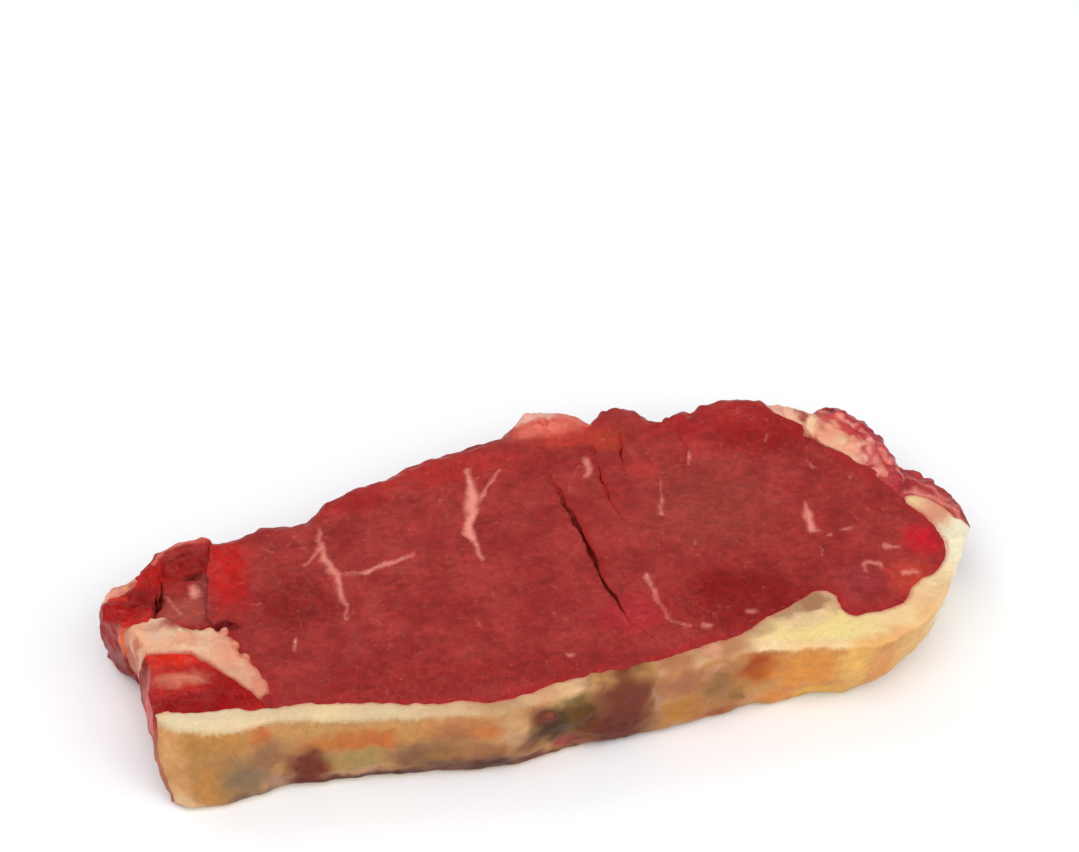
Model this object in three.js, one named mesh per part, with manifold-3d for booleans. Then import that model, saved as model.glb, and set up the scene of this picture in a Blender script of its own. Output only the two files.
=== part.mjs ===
// A raw sirloin steak lying flat, in millimetres, +Z up, its fat edge to the front (-Y).
// It is one slice of several muscles and the fat between them. Each is a solid of its own that
// runs through the whole thickness: the slice is made first, then parted along its seams.
import * as THREE from "three";
import { ImprovedNoise } from "three/addons/math/ImprovedNoise.js";
import { mergeVertices } from "three/addons/utils/BufferGeometryUtils.js";
import Module from "manifold-3d";

// Driving dimensions
const THICKNESS = 22.4; // of the slice at its middle
const SEAM_GAP = 0.3; // between two neighbouring pieces

// The slice's outline on its upper face, anticlockwise from the front left corner
const FAT_EDGE = [
  [-93, -34], [-84, -38], [-61, -39], [-39, -41.5], [-17, -44], [-9, -43.2], [-1, -41.2], [19, -39.4],
  [31, -37.6], [43, -36], [57, -37], [70, -38], [80, -34.5], [90, -26], [98, -14], [102.5, -6],
];
const CHINE_EDGE = [
  [103, 4], [99, 12], [93, 17], [91, 23.5], [88.5, 31.5], [84.5, 38], [79, 41], [75, 40], [70.5, 43.5],
  [65, 45.2], [60, 47.6], [52, 48.4], [46, 46.2], [39, 44], [33.5, 45], [31.5, 49], [23.5, 49],
  [21.8, 44.8], [17, 48.8], [10, 51.6], [4, 49.8], [0, 45.2],
];
const FLANK_EDGE = [
  [-10, 42.8], [-19, 40.8], [-26, 38.8], [-32, 34.8], [-38, 34], [-45, 30.4], [-51, 25.4], [-61, 24.8],
  [-66, 23], [-72, 22.2], [-79, 24], [-85.5, 22], [-90, 17], [-94, 14.2], [-99, 12],
  [-101.5, 6], [-100, 0], [-96, -5], [-93.8, -13], [-94, -27],
];
const SPINE = { from: [-64, -6], to: [62, 5] }; // the middle line that the rings of the mesh close on

// How the slice is meshed
const RIM_STEPS = 216;
const WALL_LEVELS = [0.36, 0.7]; // rows of the side wall, as shares of its height
const FACE_RINGS = [0.13, 0.27, 0.41, 0.55, 0.69, 0.83, 0.94]; // rings of the upper face, from rim to spine
const UNDERSIDE_RING = 0.3;
const SEAM_STEP = 2.8; // length of a facet along a seam

// Edges and unevenness
const LEAN_EDGE_RADIUS = 3;
const FAT_EDGE_RADIUS = 1.4;
const LOWER_EDGE = { inset: 2.2, rise: 1.6 };
const WALL_BULGE = 1.1;
const WALL_WAVE = { height: 0.9, length: 9 };
const FACE_SWELL = { height: 0.9, length: 26 };
const FACE_DIMPLE = { height: 0.45, length: 8 };
const EYE_CROWN = { height: 1.3, at: [-4, 2], reach: [62, 30] };

// Broad changes of thickness: each rises by "height" between two lines across the slice
const THICKER_CORNER = { height: 1.8, x: [-30, -92], y: [8, -32] };
const THINNER_TAIL = { height: -2.4, x: [-64, -92], y: [-4, 14] };
const THINNER_END = { height: -2.2, x: [45, 102], y: [60, -60] };

// How far the underside lies from the upper face, across a cut that isn't quite upright
const OBLIQUE = { shift: [0, 2.4], x: [-84, -16] };
const UNDERCUT_END = { shift: [-7.5, 8], x: [38, 83] };
const CORNERS = [
  { shift: [3, -6.5], at: [-93, -36], reach: 19 }, // flares at the end of the fat
  { shift: [4, 2], at: [-102, -3], reach: 11 }, // tucks under at the tip of the tail
];

// Clefts where the lean has opened along its grain: a path on the upper face, width and depth
const CLEFTS = [
  {
    path: [[8, 37], [6.5, 29], [9, 20], [11.5, 9], [13, -1], [14, -11], [18, -22], [24, -30]],
    width: 1.8, depth: 6,
  },
  { path: [[20, 38], [20, 29], [19.5, 20], [21.5, 11]], width: 1.4, depth: 3.6 },
  { path: [[26.5, 41], [25.5, 33], [25, 24]], width: 1.4, depth: 3.4 },
  { path: [[40, 38], [41, 33], [40, 27]], width: 1.1, depth: 2 },
  { path: [[-80, -9.5], [-77, -7.5], [-74, -6], [-70.5, -6.5]], width: 4, depth: 8 },
  { path: [[-83, 13.5], [-79, 12.5], [-75.5, 12.5]], width: 3, depth: 5 },
  { path: [[-91.5, -1.5], [-88.5, 3], [-87.5, 8], [-86.4, 15]], width: 2.6, depth: 6 },
];

// Pieces in the order they are parted from the slice. "seam" is the line the piece is parted along,
// "outside" closes it beyond the rim, and "lift" raises or lowers its upper face.
const PIECES = [
  {
    name: "fat_cap", kind: "fat", lift: 0.2,
    seam: [
      [-100, -32], [-93, -33], [-74, -34.5], [-52, -36.5], [-38, -38], [-27, -39.5], [-16, -41], [-9, -40],
      [-2, -37.3], [8, -36.2], [19, -35], [27, -33.5], [37, -31], [43, -30], [49, -26], [54, -23.5],
      [58, -21], [62, -19.5], [65.5, -21], [67, -26], [70, -28], [76, -27], [82, -24.5], [85, -20],
      [90, -17], [94.5, -12], [95.3, -6], [94, -1], [91.5, 3.8], [88.6, 8], [92.5, 7.4], [96.5, 4.6],
      [100, -0.5], [108, -8],
    ],
    outside: [[112, -60], [-112, -60], [-112, -32]],
  },
  {
    name: "tail_lean", kind: "bright_lean", lift: -0.3,
    seam: [
      [-100, -13], [-93, -13], [-85, -14.5], [-80, -18], [-76, -23], [-72, -28], [-69.5, -32], [-68.5, -40],
    ],
    outside: [[-112, -40], [-112, -13]],
  },
  {
    name: "tail_seam_fat", kind: "fat", lift: 0.5,
    seam: [
      [-102, -3.5], [-96, -2.7], [-91, -1.8], [-87, -2.8], [-84, -6], [-80, -8.2], [-77, -9.8],
      [-74.8, -9.4], [-73.3, -12], [-72.6, -16.5], [-69.5, -21.5], [-67, -28], [-66.5, -34], [-67, -42],
    ],
    outside: [[-112, -42], [-112, -3.5]],
  },
  {
    name: "tail_tip_fat", kind: "fat", lift: 0.9,
    seam: [[-108, 6], [-99, 7.4], [-95, 8.8], [-92.4, 10.8], [-91.6, 13.4], [-91.8, 24]],
    outside: [[-108, 24]],
  },
  {
    name: "tail_tip_lean", kind: "bright_lean", lift: 0.6,
    seam: [[-90.4, 26], [-90, 15], [-88.8, 9], [-89.2, 3], [-90.8, -0.5], [-92.5, -4]],
    outside: [[-112, -6], [-112, 26]],
  },
  {
    name: "tail_flap_lean", kind: "dark_lean", lift: -1.4,
    seam: [[-73.5, 32], [-74, 21.5], [-76, 14], [-77, 3], [-78, -4], [-76.6, -8], [-76, -14]],
    outside: [[-100, -14], [-100, 32]],
  },
  {
    name: "rim_lean", kind: "bright_lean", lift: -0.2,
    seam: [[96, -6], [91, 3.5], [87.8, 8.4], [89.6, 12], [91.6, 17], [94, 28]],
    outside: [[116, 28], [116, -20]],
  },
  {
    name: "chain_fat", kind: "fat", lift: -0.3,
    seam: [
      [62.5, 56], [63, 42], [68.4, 37], [73, 30.5], [78.5, 23.5], [83, 17.6], [86.6, 15.6], [86.8, 19.6],
      [84.8, 25.5], [82.4, 31.5], [79, 35.6], [76, 38.2], [75, 56],
    ],
    outside: [],
  },
  {
    name: "chain_lean", kind: "dark_lean", lift: -0.7,
    seam: [[70, 32], [79, 23.2], [84, 16.6], [86.8, 12.4], [88.4, 8.4], [96, 2]],
    outside: [[116, 2], [116, 60], [70, 60]],
  },
  {
    name: "back_fat", kind: "fat", lift: 0.3,
    seam: [[-0.6, 60], [0.2, 47.4], [4.5, 45.8], [10, 47.4], [16, 45], [19.6, 43], [21.4, 45], [21.8, 60]],
    outside: [],
  },
  { name: "eye_muscle", kind: "lean", lift: 0 },
];

const MATERIALS = {
  lean: { color: 0x983031, roughness: 0.42 },
  bright_lean: { color: 0xb02a25, roughness: 0.38 },
  dark_lean: { color: 0x8c2a28, roughness: 0.4 },
  fat: { color: 0xe3bf8c, roughness: 0.5 },
};

const noise = new ImprovedNoise();
const wasm = await Module();
wasm.setup();

const smooth = (value, [from, to]) => THREE.MathUtils.smoothstep((value - from) / (to - from), 0, 1);
const vector = ([x, y]) => new THREE.Vector2(x, y);

// A smooth open line through points, in equal steps
function lineThrough(points, step) {
  const curve = new THREE.SplineCurve(points.map(vector));
  return curve.getSpacedPoints(Math.max(2, Math.round(curve.getLength() / step)));
}

// Height of the upper face above the table
function faceHeight(x, y) {
  const band = ({ height, x: across, y: along }) => height * smooth(x, across) * smooth(y, along);
  const [cx, cy] = EYE_CROWN.at;
  const [rx, ry] = EYE_CROWN.reach;
  const crown = EYE_CROWN.height * Math.exp(-(((x - cx) / rx) ** 2) - ((y - cy) / ry) ** 2);
  const swell = FACE_SWELL.height * noise.noise(x / FACE_SWELL.length, y / FACE_SWELL.length, 3.7);
  const dimple = FACE_DIMPLE.height * noise.noise(x / FACE_DIMPLE.length, y / FACE_DIMPLE.length, 8.3);
  return THICKNESS + band(THICKER_CORNER) + band(THINNER_TAIL) + band(THINNER_END) + crown + swell + dimple;
}

// The closed mesh of rows of points, each row once round the slice: a flat fill closes the first, and
// the last is a narrow slot along the spine, closed by a strip between its two sides
function closedLoft(rows) {
  const count = rows[0].length;
  const triangles = [];
  for (let row = 0; row + 1 < rows.length; row++) {
    for (let i = 0; i < count; i++) {
      const a = row * count + i;
      const b = row * count + ((i + 1) % count);
      triangles.push(a, b, b + count, a, b + count, a + count);
    }
  }
  const flat = rows[0].map((p) => new THREE.Vector2(p.x, p.y));
  for (const [a, b, c] of THREE.ShapeUtils.triangulateShape(flat, [])) triangles.push(a, c, b);
  const slot = rows[rows.length - 1];
  const index = (i) => (rows.length - 1) * count + ((i + count) % count);
  const first = slot.reduce((least, p, i) => (p.x < slot[least].x ? i : least), 0);
  let front = first;
  let back = first + count - 1;
  while (back - front > 1) {
    if (slot[(front + 1) % count].x < slot[(back - 1) % count].x) {
      triangles.push(index(front), index(front + 1), index(back));
      front++;
    } else {
      triangles.push(index(front), index(back - 1), index(back));
      back--;
    }
  }
  const geometry = new THREE.BufferGeometry().setFromPoints(rows.flat());
  geometry.setIndex(triangles);
  return geometry;
}

// The whole slice before it is parted: rows from the middle of the underside, up the wall, to the spine
function sliceGeometry() {
  const outline = [...FAT_EDGE, ...CHINE_EDGE, ...FLANK_EDGE].map(([x, y]) => new THREE.Vector3(x, y, 0));
  const rimCurve = new THREE.CatmullRomCurve3(outline, true, "centripetal");
  const rim = rimCurve.getSpacedPoints(RIM_STEPS).slice(0, -1);
  const spine = new THREE.Line3(
    new THREE.Vector3(...SPINE.from, 0),
    new THREE.Vector3(...SPINE.to, 0),
  );
  const middles = rim.map((p) => spine.closestPointToPoint(p, true, new THREE.Vector3()));
  const fatSide = (p) => smooth(p.y, [-8, -26]);
  const radius = (p) => THREE.MathUtils.lerp(LEAN_EDGE_RADIUS, FAT_EDGE_RADIUS, fatSide(p));
  // A row "inset" millimetres in from the rim, or that share of the way to the spine
  const row = (inset, height, share = 0) =>
    rim.map((p, i) => {
      const inwards = middles[i].clone().sub(p);
      const length = inwards.length();
      const moved = p.clone().addScaledVector(inwards, share || inset(p, i) / length);
      return moved.setZ(height(moved, p));
    });
  const wave = (level) => (p) =>
    WALL_WAVE.height * noise.noise(p.x / WALL_WAVE.length, p.y / WALL_WAVE.length, level * 2.3);
  const level = (share) =>
    row((p) => wave(share)(p) - WALL_BULGE * Math.sin(Math.PI * share), (moved, p) =>
      share * (faceHeight(p.x, p.y) - radius(p)));
  return closedLoft([
    row(null, () => 0, UNDERSIDE_RING),
    row(() => LOWER_EDGE.inset, () => 0),
    row(wave(0.1), () => LOWER_EDGE.rise),
    ...WALL_LEVELS.map(level),
    row(() => 0, (moved, p) => faceHeight(p.x, p.y) - radius(p)),
    row((p) => 0.3 * radius(p), (moved, p) => faceHeight(moved.x, moved.y) - 0.32 * radius(p)),
    row(radius, (moved) => faceHeight(moved.x, moved.y)),
    ...FACE_RINGS.map((share) => row(null, (moved) => faceHeight(moved.x, moved.y), share)),
  ]);
}

// A wedge that opens a cleft: a V section that follows its path and runs out at both ends
function cleftGeometry({ path, width, depth }) {
  const above = 4;
  const line = lineThrough(path, SEAM_STEP);
  const sections = line.map((p, i) => {
    const before = line[Math.max(0, i - 1)];
    const after = line[Math.min(line.length - 1, i + 1)];
    const side = after.clone().sub(before).normalize().rotateAround(new THREE.Vector2(), Math.PI / 2);
    const fade = Math.sin((Math.PI * i) / (line.length - 1)) ** 0.6;
    const top = faceHeight(p.x, p.y) + above;
    const bottom = top - above - depth * fade + 0.1;
    const half = ((width / 2) * (top - bottom)) / depth;
    const at = (share, z) => new THREE.Vector3(p.x + side.x * share, p.y + side.y * share, z);
    return [at(-half, top), at(0, bottom), at(half, top)];
  });
  const triangles = [];
  for (let s = 0; s + 1 < sections.length; s++) {
    for (let i = 0; i < 3; i++) {
      const a = s * 3 + i;
      const b = s * 3 + ((i + 1) % 3);
      triangles.push(a, b, b + 3, a, b + 3, a + 3);
    }
  }
  const last = (sections.length - 1) * 3;
  triangles.push(0, 2, 1, last, last + 1, last + 2);
  const geometry = new THREE.BufferGeometry().setFromPoints(sections.flat());
  geometry.setIndex(triangles);
  return geometry;
}

// The upright block inside a piece's seam, grown outwards by a margin
function blockGeometry({ seam, outside }, grow) {
  const corners = [...lineThrough(seam, SEAM_STEP), ...outside.map(vector)];
  const turn = THREE.ShapeUtils.area(corners) > 0 ? 1 : -1;
  const grown = corners.map((p, i) => {
    const before = corners[(i + corners.length - 1) % corners.length];
    const after = corners[(i + 1) % corners.length];
    const along = after.clone().sub(p).normalize().add(p.clone().sub(before).normalize()).normalize();
    return new THREE.Vector2(p.x + along.y * grow * turn, p.y - along.x * grow * turn);
  });
  const block = new THREE.ExtrudeGeometry(new THREE.Shape(grown), {
    depth: THICKNESS * 2,
    bevelEnabled: false,
  });
  return block.translate(0, 0, -THICKNESS / 2);
}

function solidOf(geometry) {
  const bare = geometry.clone();
  bare.deleteAttribute("normal");
  bare.deleteAttribute("uv");
  const merged = mergeVertices(bare, 1e-4);
  const solid = new wasm.Manifold(
    new wasm.Mesh({
      numProp: 3,
      vertProperties: new Float32Array(merged.attributes.position.array),
      triVerts: new Uint32Array(merged.index.array),
    }),
  );
  if (solid.volume() <= 0) throw new Error("a solid is inside out");
  return solid;
}

// The largest body of a solid, without the scraps a cut leaves
const largestBody = (solid) => solid.decompose().sort((a, b) => b.volume() - a.volume())[0];

// Where a point of the upright slice lies in the real one, whose sides slant
function slanted(x, y, z) {
  const down = 1 - z / faceHeight(x, y);
  const cut = smooth(x, OBLIQUE.x);
  const end = smooth(x, UNDERCUT_END.x);
  const shift = [0, 1].map((axis) => OBLIQUE.shift[axis] * cut + UNDERCUT_END.shift[axis] * end);
  for (const corner of CORNERS) {
    const [cx, cy] = corner.at;
    const near = Math.exp(-((x - cx) ** 2 + (y - cy) ** 2) / corner.reach ** 2);
    shift[0] += corner.shift[0] * near;
    shift[1] += corner.shift[1] * near;
  }
  return [x + down * shift[0], y + down * shift[1]];
}

function meshOf({ name, kind, lift }, solid) {
  const { vertProperties, triVerts, numProp } = solid.getMesh();
  const points = [];
  for (let i = 0; i < vertProperties.length; i += numProp) {
    const [x, y, z] = vertProperties.subarray(i, i + 3);
    const lifted = z + lift * smooth(z / faceHeight(x, y), [0.3, 0.85]);
    points.push(new THREE.Vector3(...slanted(x, y, lifted), lifted));
  }
  const geometry = new THREE.BufferGeometry().setFromPoints(points);
  geometry.setIndex([...triVerts]);
  geometry.computeVertexNormals();
  const material = new THREE.MeshStandardMaterial({ ...MATERIALS[kind], metalness: 0 });
  const mesh = new THREE.Mesh(geometry, material);
  mesh.name = name;
  return mesh;
}

const steak = new THREE.Group();
let rest = solidOf(sliceGeometry());
for (const cleft of CLEFTS) rest = rest.subtract(solidOf(cleftGeometry(cleft)));
for (const piece of PIECES) {
  if (!piece.seam) {
    steak.add(meshOf(piece, largestBody(rest)));
    continue;
  }
  steak.add(meshOf(piece, largestBody(rest.intersect(solidOf(blockGeometry(piece, 0))))));
  rest = rest.subtract(solidOf(blockGeometry(piece, SEAM_GAP)));
}

// The origin is the middle of the footprint, on the table
const box = new THREE.Box3().setFromObject(steak);
const centre = box.getCenter(new THREE.Vector3());
steak.position.set(-centre.x, -centre.y, -box.min.z);

export default steak;
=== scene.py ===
import math
import random
from itertools import pairwise

import bmesh
import bpy
import numpy as np
from mathutils import Matrix, Vector, noise
from mathutils.bvhtree import BVHTree


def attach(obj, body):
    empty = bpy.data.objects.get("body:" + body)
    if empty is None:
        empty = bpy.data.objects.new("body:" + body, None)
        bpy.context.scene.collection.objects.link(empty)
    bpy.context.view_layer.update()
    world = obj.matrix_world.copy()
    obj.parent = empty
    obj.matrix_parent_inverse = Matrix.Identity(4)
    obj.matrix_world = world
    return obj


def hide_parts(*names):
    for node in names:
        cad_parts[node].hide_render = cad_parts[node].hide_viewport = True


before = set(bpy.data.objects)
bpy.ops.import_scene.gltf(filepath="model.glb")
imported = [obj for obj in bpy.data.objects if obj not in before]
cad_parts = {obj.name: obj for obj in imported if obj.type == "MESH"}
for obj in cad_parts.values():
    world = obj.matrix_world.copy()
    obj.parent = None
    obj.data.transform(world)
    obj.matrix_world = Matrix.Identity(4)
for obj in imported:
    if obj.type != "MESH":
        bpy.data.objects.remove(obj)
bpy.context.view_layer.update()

# The eye muscle
# The loin muscle that makes most of the slice: raw beef, cut straight across its grain, so that the
# fibre bundles show end on. It is a fine even mesh over its solid, as uneven as a knife leaves flesh.

MM = 0.001
# How far lean and fat grow into the piece beside them, in mm, so that they meet as grown flesh does
LEAN_GROWTH, FAT_GROWTH = 1.0, 0.35
SEAM_REACH = 0.9  # mm: a corner this near another piece lies on the seam between them
WELD = 0.001  # mm between corners of a solid that are one corner
FLESH_FACET = 0.52  # mm, fine enough for the fibre bundles to stand out in the mesh
BUNDLE = 1.5  # mm across a bundle of fibres
BROAD = 9  # mm across the broad darker and lighter areas of the lean
FILM = 5  # mm across a patch of silverskin
FLECK = 0.9  # mm; the ends of single fibres are under 0.1 mm, too fine to show, so they are drawn this coarse
DRAG = 0.8  # mm across a streak that the knife leaves
CRUMB = 1.7  # mm across the haze of crumbs of fat; a crumb is under 0.5 mm, and drawn coarser so as to show
FRINGE = 5  # mm beside the fat where the lean is fresher red
CLEFT_PULL = 0.6  # mm that each side of a cleft moves in
CLEFT_SIDES = (1.5, 6)  # mm from a cleft: all of the flesh moves up to the first, none from the second
CLEFT_SHADE_HEIGHTS = (11, 14)  # mm above the table: the deep red painted into a cleft as its shade fades in between these heights
# What lies on the table is pressed flat: the flesh gets uneven between these heights, in mm
PRESSED = (0.4, 4)
# The drift of all flesh: how long its waves are and how far it goes, in mm, and where the noise is read
DRIFTS = [(7.0, 0.75, 0.0), (2.6, 0.42, 5.0)]
DRIFT_UP = 0.35  # of the drift's height is kept: it mostly goes sideways
# The swell of its surface: how long its waves are and how high, in mm, and a seed
SWELLS = [(4.5, 0.28, 1), (BUNDLE, 0.13, 2)]
VEIN_WAVE, VEIN_SWAY = 3.5, 0.9  # mm: how a vein winds about its line
KNOB_SCATTER = (0.4, 0.4, 0.35)  # of a knob's size: how far knobs stray from their line
KNOB_REACH = (0.6, 1.4)  # of a knob's size: its least and its greatest reach to a side
BEYOND = 50.0  # mm: further than any line on the slice reaches
FLESH_SEED = 23
noise.seed_set(FLESH_SEED)  # without it the flesh would be uneven in another way on every run
LEAN_NODES = ["eye_muscle", "tail_lean", "tail_tip_lean", "tail_flap_lean", "rim_lean", "chain_lean"]
FAT_NODES = ["fat_cap", "tail_seam_fat", "tail_tip_fat", "chain_fat", "back_fat"]


def linear(srgb):
    """A shader's colour from an sRGB hex value such as "9e3a34"."""
    parts = [int(srgb[i:i + 2], 16) / 255 for i in (0, 2, 4)]
    return [p / 12.92 if p <= 0.04045 else ((p + 0.055) / 1.055) ** 2.4 for p in parts] + [1]


def add(tree, kind, inputs=(), **settings):
    """A new node with its settings. An input is a value, a socket or a node, whose first output is used."""
    node = tree.nodes.new(kind)
    for name, value in settings.items():
        setattr(node, name, value)
    for key, value in dict(inputs).items():
        socket = node.inputs[key] if isinstance(key, int) else next(
            s for s in node.inputs if s.enabled and s.name == key)
        if isinstance(value, bpy.types.Node):
            value = next(o for o in value.outputs if o.enabled)
        if isinstance(value, bpy.types.NodeSocket):
            tree.links.new(value, socket)
        else:
            socket.default_value = value
    return node


def smooth(value, low, high):
    """0 at the low value and 1 at the high one, with soft ends."""
    share = np.clip((value - low) / (high - low), 0, 1)
    return share * share * (3 - 2 * share)


def nearness(points, nodes, reach):
    """1 at those CAD solids, falling to 0 that many mm away."""
    corners, faces = [], []
    for node in nodes:
        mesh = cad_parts[node].data
        first = len(corners)
        corners += [v.co.copy() for v in mesh.vertices]
        faces += [[first + i for i in face.vertices] for face in mesh.polygons]
    solids = BVHTree.FromPolygons(corners, faces)
    far = np.array([solids.find_nearest(Vector(p))[3] for p in points * MM]) / MM
    return 1 - smooth(far, 0, reach)


def knobs_along(path, height, count, size, seed):
    """Small lumps of flesh along a line on the cut face: the centre and the reach of each, in mm."""
    chance = random.Random(seed)
    knobs = []
    for _ in range(count):
        stretch = chance.randrange(len(path) - 1)
        start, end, share = Vector(path[stretch]), Vector(path[stretch + 1]), chance.random()
        off = Vector([chance.gauss(0, size * stray) for stray in KNOB_SCATTER])
        centre = start.lerp(end, share).to_3d() + Vector((0, 0, height)) + off
        knobs.append((centre, [size * chance.uniform(*KNOB_REACH) for _ in range(3)]))
    return knobs


def cut_flesh(node, name, knobs=()):
    """A piece with a fine even mesh over a CAD solid and its knobs, grown into the pieces beside it."""
    solid = bmesh.new()
    solid.from_mesh(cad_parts[node].data)
    bmesh.ops.remove_doubles(solid, verts=solid.verts, dist=WELD * MM)
    solid.normal_update()
    growth = LEAN_GROWTH if node in LEAN_NODES else FAT_GROWTH
    others = [other for other in LEAN_NODES + FAT_NODES if other != node]
    close = nearness(np.array([corner.co for corner in solid.verts]) / MM, others, SEAM_REACH)
    for corner, near in zip(solid.verts, close):
        sideways = Vector((corner.normal.x, corner.normal.y, 0))
        if sideways.length > 0.2:  # else it is a corner of the cut face or the underside
            corner.co += sideways.normalized() * min(1, near * 2) * growth * MM
    for centre, reach in knobs:
        size = Matrix.Diagonal([r * MM for r in reach]).to_4x4()
        bmesh.ops.create_icosphere(
            solid, subdivisions=2, radius=1, matrix=Matrix.Translation(centre * MM) @ size)
    mesh = bpy.data.meshes.new(name)
    solid.to_mesh(mesh)
    solid.free()
    piece = bpy.data.objects.new(name, mesh)
    bpy.context.collection.objects.link(piece)
    even = piece.modifiers.new("even facets", "REMESH")
    even.mode = "VOXEL"
    even.voxel_size = FLESH_FACET * MM
    soft = piece.modifiers.new("soft edges", "SMOOTH")
    soft.factor = 0.5
    soft.iterations = 3
    shaped = piece.evaluated_get(bpy.context.evaluated_depsgraph_get())
    piece.data = bpy.data.meshes.new_from_object(shaped)
    piece.modifiers.clear()
    for face in piece.data.polygons:
        face.use_smooth = True
    return piece


def points_of(piece, what="co"):
    """The piece's points, in mm, or its normals."""
    values = np.empty(len(piece.data.vertices) * 3, np.float32)
    piece.data.vertices.foreach_get(what, values)
    return values.reshape(-1, 3).astype(float) / (MM if what == "co" else 1)


def move_to(piece, points):
    """Moves the piece's points to those places, in mm."""
    piece.data.vertices.foreach_set("co", (points * MM).astype(np.float32).ravel())
    piece.data.update()


def lumps(points, size, seed):
    """Smooth noise of about -1 to 1 at each point, in lumps of that size in mm. Each seed reads it
    at another place."""
    return np.array([noise.noise(Vector(p)) for p in points / size + seed * 7.31]) * 1.6


def drift_at(points, wave, reach, place=0.0):
    """How far soft noise leads each point astray, in mm, in waves of that length."""
    return np.array([noise.noise_vector(Vector(p)) for p in points / wave + place]) * reach


def to_stretch(points, start, end):
    """The way to the nearest place on a stretch of line, seen from above, in mm, and the share of the
    stretch that lies before that place."""
    start, along = np.array(start), np.array(end) - np.array(start)
    share = np.clip(((points[:, :2] - start) @ along) / (along @ along), 0, 1)
    return start + share[:, None] * along - points[:, :2], share


def drawn_together(points, path):
    """The sideways move that all but closes a cleft, in mm: its sides come together along that line."""
    nearest = np.full((len(points), 2), BEYOND)
    for start, end in pairwise(path):
        off, _ = to_stretch(points, start, end)
        closer = np.linalg.norm(off, axis=1) < np.linalg.norm(nearest, axis=1)
        nearest[closer] = off[closer]
    far = np.linalg.norm(nearest, axis=1)
    # A point close to the line never crosses it
    pull = np.minimum(CLEFT_PULL, far * 0.75) * (1 - smooth(far, *CLEFT_SIDES))
    return nearest / np.maximum(far, 0.01)[:, None] * pull[:, None]


def ragged(piece, roughness=1.0, clefts=()):
    """Makes the piece uneven. The same sideways drift for every piece keeps the seams shut."""
    points = points_of(piece)
    facing = points_of(piece, "normal")
    drift = sum(drift_at(points, *waves) for waves in DRIFTS)
    off_table = smooth(points[:, 2], *PRESSED)
    drift[:, 2] *= DRIFT_UP * off_table
    swell = sum(height * lumps(points, wave, seed) for wave, height, seed in SWELLS)
    relief = facing * (roughness * off_table)[:, None]
    # Sideways the surface only swells out, because a dent would open a gap beside the next piece
    relief[:, :2] *= (0.5 * swell + 0.5 * np.sqrt(swell ** 2 + 0.03))[:, None]
    relief[:, 2] *= swell
    for path, _ in clefts:
        points[:, :2] += drawn_together(points, path)
    points += drift + relief
    points[:, 2] = np.maximum(points[:, 2], 0)
    move_to(piece, points)


def remember(piece, name, values):
    """Keeps a number for each point, which a material reads by that name."""
    kept = piece.data.attributes.new(name, "FLOAT", "POINT")
    kept.data.foreach_set("value", np.asarray(values, np.float32))


def inside_line(points, path, widths):
    """How deep each point lies inside a line of changing width, seen from above, in mm, negative outside."""
    deepest = np.full(len(points), -BEYOND)
    for (start, end), (first, last) in zip(pairwise(path), pairwise(widths)):
        off, share = to_stretch(points, start, end)
        deepest = np.maximum(deepest, (first + (last - first) * share) / 2 - np.linalg.norm(off, axis=1))
    return deepest


# A patch has all of its share up to the first of these, and nothing from the second, as a share of its reach
PATCH_FULL, PATCH_GONE = 0.45, 1.6
ALL = 1e4  # mm: a patch with this reach goes right through


def patches(tree, ground, spots, at):
    """Soft-edged patches over a ground colour: each a centre, a reach to all sides, a colour and a share."""
    for centre, reach, colour, share in spots:
        off = add(tree, "ShaderNodeVectorMath", {0: at, 1: centre}, operation="SUBTRACT")
        scaled = add(tree, "ShaderNodeVectorMath", {0: off, 1: [1 / r for r in reach]}, operation="MULTIPLY")
        far = add(tree, "ShaderNodeVectorMath", {0: scaled}, operation="LENGTH")
        cover = add(tree, "ShaderNodeMapRange", {
            "Value": far, "From Min": PATCH_FULL, "From Max": PATCH_GONE, "To Min": share, "To Max": 0.0,
        }, interpolation_type="SMOOTHSTEP")
        ground = mixed(tree, cover, ground, linear(colour))
    return ground


def mixed(tree, share, first, second):
    """The first colour, covered by that share of the second."""
    return add(tree, "ShaderNodeMix", {"Factor": share, "A": first, "B": second}, data_type="RGBA")


def ramp(tree, value, low, high, start=0.0, end=1.0):
    """The value brought from low..high to start..end."""
    return add(tree, "ShaderNodeMapRange", {
        "Value": value, "From Min": low, "From Max": high, "To Min": start, "To Max": end})


def placed(tree, grain, sway):
    """The place on the piece in mm, and the same place led astray by soft noise, for uneven borders."""
    place = add(tree, "ShaderNodeTexCoord").outputs["Object"]
    mm = add(tree, "ShaderNodeVectorMath", {0: place, "Scale": 1 / MM}, operation="SCALE")
    wander = add(tree, "ShaderNodeTexNoise", {"Vector": mm, "Scale": 1 / grain, "Detail": 3.0})
    centred = add(tree, "ShaderNodeVectorMath", {
        0: wander.outputs["Color"], 1: (0.5, 0.5, 0.5)}, operation="SUBTRACT")
    drift = add(tree, "ShaderNodeVectorMath", {0: centred, "Scale": sway}, operation="SCALE")
    return mm, add(tree, "ShaderNodeVectorMath", {0: mm, 1: drift}, operation="ADD")


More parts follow.
